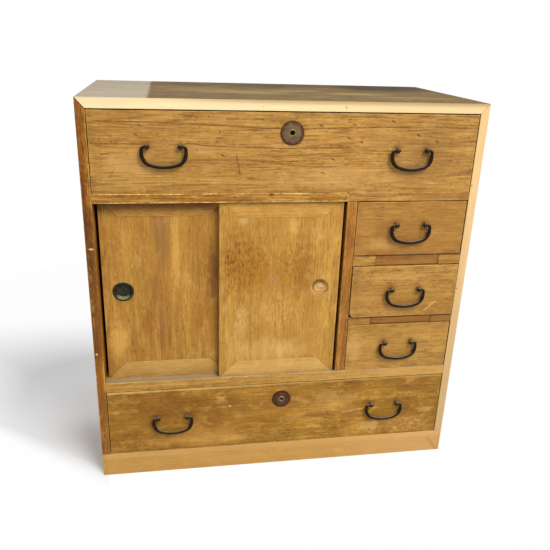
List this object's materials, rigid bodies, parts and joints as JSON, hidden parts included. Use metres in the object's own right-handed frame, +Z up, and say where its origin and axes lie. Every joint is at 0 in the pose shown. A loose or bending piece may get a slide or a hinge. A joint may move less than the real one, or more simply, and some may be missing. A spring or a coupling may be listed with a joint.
{
  "type": "tansu chest",
  "caption": "Low wooden chest with drawers across top and bottom, sliding doors beside a column of small drawers, iron bail handles and round lock plates.",
  "frame": {"origin": "on the floor, under the middle of the chest's bounding box", "axes": "+X to the right as seen from the front, +Y from the front to the back, +Z up"},
  "size_m": [0.606, 0.322, 0.6257],
  "materials": {
    "weathered_wood": "bare, weathered grey-brown",
    "side_wood": "worn oil finish",
    "front_wood": "worn satin oil finish with strong grain",
    "door_wood": "worn satin oil finish",
    "rail_wood": "worn satin oil finish, pale arrises",
    "patch_wood": "dark stained",
    "pale_wood": "planed, lightly oiled",
    "inner_wood": "bare planed wood",
    "iron": "black satin iron",
    "lock_iron": "brown rusted iron",
    "brass": "tarnished brass",
    "bronze": "dark patinated bronze"
  },
  "bodies": {
    "carcass": {"top_panel": "weathered_wood", "left_side_panel": "side_wood", "right_side_panel": "side_wood", "floor_board": "inner_wood", "back_boards": "inner_wood", "base_front_rail": "pale_wood", "base_side_rails": "side_wood", "base_back_rail": "inner_wood", "upper_shelf": "rail_wood", "door_head_rail": "rail_wood", "lower_shelf": "rail_wood", "centre_divider": "rail_wood", "upper_small_shelf": "rail_wood", "lower_small_shelf": "rail_wood", "rail_patches": "patch_wood"},
    "left_door": {"left_door_panel": "door_wood", "left_door_end_caps": "door_wood", "left_door_cup": "bronze"},
    "right_door": {"right_door_panel": "door_wood", "right_door_end_caps": "door_wood"},
    "top_drawer_left_bail": {"top_drawer_left_bail": "iron"},
    "top_drawer_right_bail": {"top_drawer_right_bail": "iron"},
    "top_drawer_lock_bolt": {"top_drawer_lock_bolt": "lock_iron"},
    "top_drawer": {"top_drawer_front": "front_wood", "top_drawer_sides": "inner_wood", "top_drawer_back": "inner_wood", "top_drawer_bottom": "inner_wood", "top_drawer_handle_posts": "iron", "top_drawer_lock_plate": "lock_iron", "top_drawer_key_tube": "brass", "top_drawer_lock_case": "lock_iron"},
    "bottom_drawer_left_bail": {"bottom_drawer_left_bail": "iron"},
    "bottom_drawer_right_bail": {"bottom_drawer_right_bail": "iron"},
    "bottom_drawer_lock_bolt": {"bottom_drawer_lock_bolt": "lock_iron"},
    "bottom_drawer": {"bottom_drawer_front": "front_wood", "bottom_drawer_sides": "inner_wood", "bottom_drawer_back": "inner_wood", "bottom_drawer_bottom": "inner_wood", "bottom_drawer_handle_posts": "iron", "bottom_drawer_lock_plate": "lock_iron", "bottom_drawer_key_tube": "brass", "bottom_drawer_lock_case": "lock_iron"},
    "upper_small_drawer_bail": {"upper_small_drawer_bail": "iron"},
    "upper_small_drawer": {"upper_small_drawer_front": "front_wood", "upper_small_drawer_sides": "inner_wood", "upper_small_drawer_back": "inner_wood", "upper_small_drawer_bottom": "inner_wood", "upper_small_drawer_handle_posts": "iron"},
    "middle_small_drawer_bail": {"middle_small_drawer_bail": "iron"},
    "middle_small_drawer": {"middle_small_drawer_front": "front_wood", "middle_small_drawer_sides": "inner_wood", "middle_small_drawer_back": "inner_wood", "middle_small_drawer_bottom": "inner_wood", "middle_small_drawer_handle_posts": "iron"},
    "lower_small_drawer_bail": {"lower_small_drawer_bail": "iron"},
    "lower_small_drawer": {"lower_small_drawer_front": "front_wood", "lower_small_drawer_sides": "inner_wood", "lower_small_drawer_back": "inner_wood", "lower_small_drawer_bottom": "inner_wood", "lower_small_drawer_handle_posts": "iron"}
  },
  "joints": [
    {"name": "top_drawer_slide", "type": "slide", "parent": "carcass", "child": "top_drawer", "axis": [0, -1, 0], "range_m": [0, 0.24]},
    {"name": "top_drawer_left_bail_hinge", "type": "hinge", "parent": "top_drawer", "child": "top_drawer_left_bail", "pos_m": [-0.185, -0.1547, 0.56005], "axis": [-1, 0, 0], "range_deg": [0, 170]},
    {"name": "top_drawer_right_bail_hinge", "type": "hinge", "parent": "top_drawer", "child": "top_drawer_right_bail", "pos_m": [0.185, -0.1547, 0.55615], "axis": [-1, 0, 0], "range_deg": [0, 170]},
    {"name": "top_drawer_lock_bolt_slide", "type": "slide", "parent": "top_drawer", "child": "top_drawer_lock_bolt", "axis": [0, 0, 1], "range_m": [0, 0.007]},
    {"name": "bottom_drawer_slide", "type": "slide", "parent": "carcass", "child": "bottom_drawer", "axis": [0, -1, 0], "range_m": [0, 0.24]},
    {"name": "bottom_drawer_left_bail_hinge", "type": "hinge", "parent": "bottom_drawer", "child": "bottom_drawer_left_bail", "pos_m": [-0.1842, -0.1547, 0.11035], "axis": [-1, 0, 0], "range_deg": [0, 170]},
    {"name": "bottom_drawer_right_bail_hinge", "type": "hinge", "parent": "bottom_drawer", "child": "bottom_drawer_right_bail", "pos_m": [0.1842, -0.1547, 0.11035], "axis": [-1, 0, 0], "range_deg": [0, 170]},
    {"name": "bottom_drawer_lock_bolt_slide", "type": "slide", "parent": "bottom_drawer", "child": "bottom_drawer_lock_bolt", "axis": [0, 0, 1], "range_m": [0, 0.007]},
    {"name": "upper_small_drawer_slide", "type": "slide", "parent": "carcass", "child": "upper_small_drawer", "axis": [0, -1, 0], "range_m": [0, 0.24]},
    {"name": "upper_small_drawer_bail_hinge", "type": "hinge", "parent": "upper_small_drawer", "child": "upper_small_drawer_bail", "pos_m": [0.1967, -0.1541, 0.43895], "axis": [-1, 0, 0], "range_deg": [0, 170]},
    {"name": "middle_small_drawer_slide", "type": "slide", "parent": "carcass", "child": "middle_small_drawer", "axis": [0, -1, 0], "range_m": [0, 0.24]},
    {"name": "middle_small_drawer_bail_hinge", "type": "hinge", "parent": "middle_small_drawer", "child": "middle_small_drawer_bail", "pos_m": [0.1987, -0.1568, 0.3293], "axis": [-1, 0, 0], "range_deg": [0, 170]},
    {"name": "lower_small_drawer_slide", "type": "slide", "parent": "carcass", "child": "lower_small_drawer", "axis": [0, -1, 0], "range_m": [0, 0.24]},
    {"name": "lower_small_drawer_bail_hinge", "type": "hinge", "parent": "lower_small_drawer", "child": "lower_small_drawer_bail", "pos_m": [0.1971, -0.1547, 0.2311], "axis": [-1, 0, 0], "range_deg": [0, 170]},
    {"name": "left_door_slide", "type": "slide", "parent": "carcass", "child": "left_door", "axis": [1, 0, 0], "range_m": [0, 0.17895]},
    {"name": "right_door_slide", "type": "slide", "parent": "carcass", "child": "right_door", "axis": [-1, 0, 0], "range_m": [0, 0.17895]}
  ]
}
